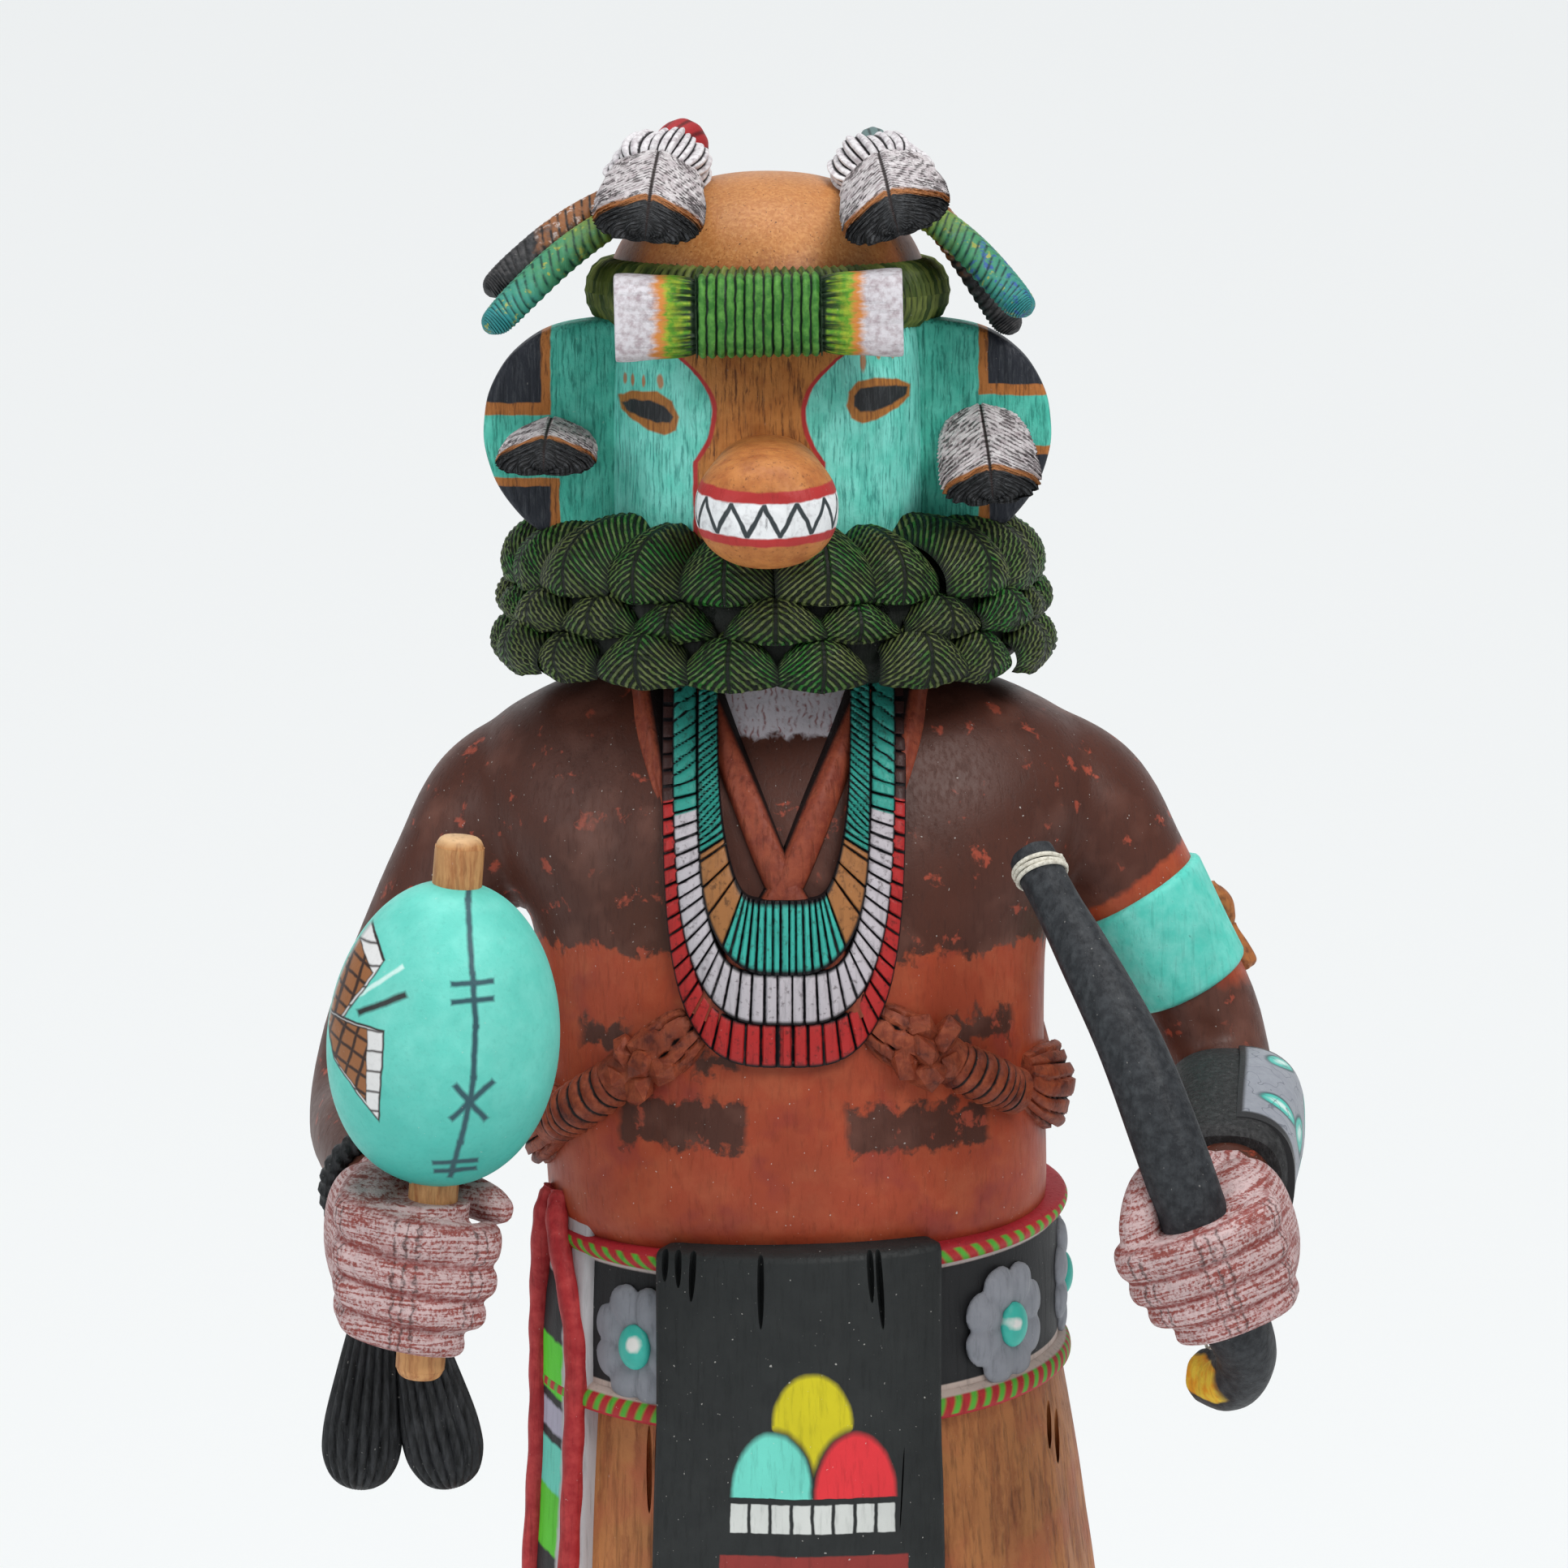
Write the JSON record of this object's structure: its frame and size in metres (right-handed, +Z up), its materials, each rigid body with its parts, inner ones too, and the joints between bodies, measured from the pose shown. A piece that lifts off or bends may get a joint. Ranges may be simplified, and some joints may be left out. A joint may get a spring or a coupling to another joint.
{
  "type": "katsina doll",
  "caption": "Carved and painted wooden katsina doll that stands on a low round base, with a rattle in one fist and a strung bow in the other.",
  "frame": {"origin": "centre of the base's underside", "axes": "+Z up, from the base to the crown; the figure faces -Y; +X is the figure's own left, the side of the bow"},
  "size_m": [0.1378, 0.1182, 0.3273],
  "materials": {
    "bare_wood": "oiled bare wood",
    "body_paint": "matt red-brown paint on carved wood",
    "turquoise_paint": "matt turquoise paint, grain showing",
    "brown_paint": "satin brown paint",
    "green_paint": "matt green paint on carved wood",
    "black_paint": "matt black paint on carved wood",
    "white_paint": "matt white paint on carved wood",
    "red_paint": "matt red paint on carved wood",
    "grey_paint": "matt blue-grey paint on carved wood",
    "parrot_paint": "matt green and blue paint on carved wood",
    "cotton_thread": "twisted white cotton thread"
  },
  "bodies": {
    "root": {"base": "bare_wood", "figure": "body_paint", "muzzle": "brown_paint", "forehead_bundle": "green_paint", "ear_tab_right": "turquoise_paint", "ear_tab_left": "turquoise_paint", "ear_feather_right": "white_paint", "ear_feather_left": "white_paint", "down_right": "white_paint", "down_left": "white_paint", "eagle_feather_right": "white_paint", "eagle_feather_left": "white_paint", "barred_feather_right": "black_paint", "barred_feather_left": "black_paint", "parrot_feather_right": "parrot_paint", "parrot_feather_left": "parrot_paint", "crest_feather_right": "red_paint", "crest_feather_left": "grey_paint", "rattle_gourd": "turquoise_paint", "rattle_handle": "bare_wood", "bow_stave": "black_paint", "bow_string": "cotton_thread", "wrist_tassels": "black_paint"}
  },
  "joints": []
}
